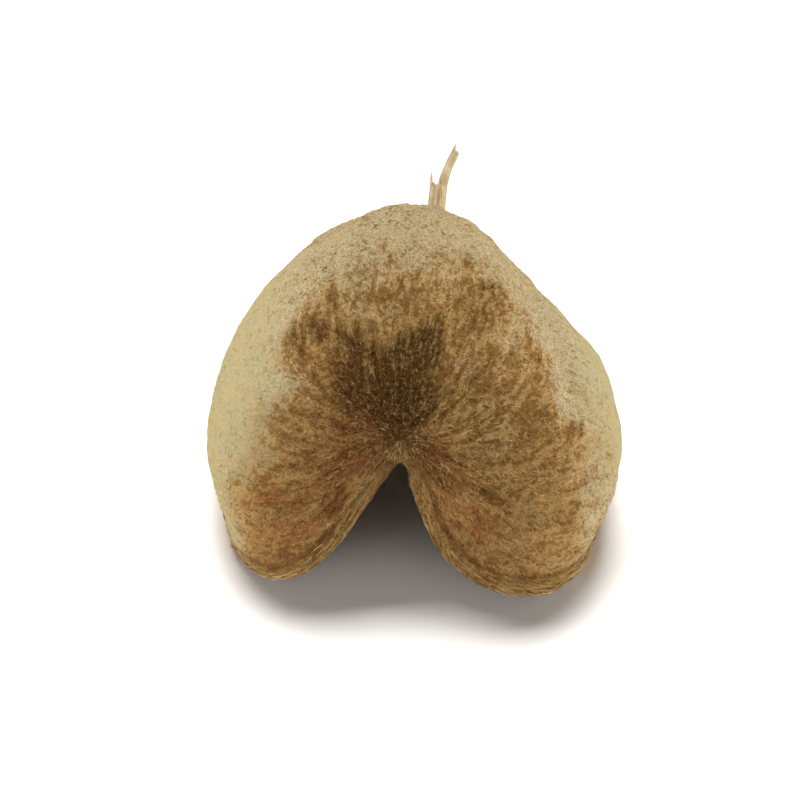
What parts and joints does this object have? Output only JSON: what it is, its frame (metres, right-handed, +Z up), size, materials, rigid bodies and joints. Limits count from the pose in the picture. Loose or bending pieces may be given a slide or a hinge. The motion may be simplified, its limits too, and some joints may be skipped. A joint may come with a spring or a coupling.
{
  "type": "buddha nut",
  "caption": "Dried buddha nut pod, woody and heart-shaped, split open along its seam and lying open side down, with a torn stalk.",
  "frame": {"origin": "on the ground under the middle of the pod and its stalk", "axes": "+Z up through the dome, -Y towards the notch between the two lobes, +X towards the right lobe"},
  "size_m": [0.1152, 0.1278, 0.0717],
  "materials": {
    "husk": "velvety",
    "stalk": "fibrous"
  },
  "bodies": {
    "root": {"husk": "husk", "stalk": "stalk"}
  },
  "joints": []
}
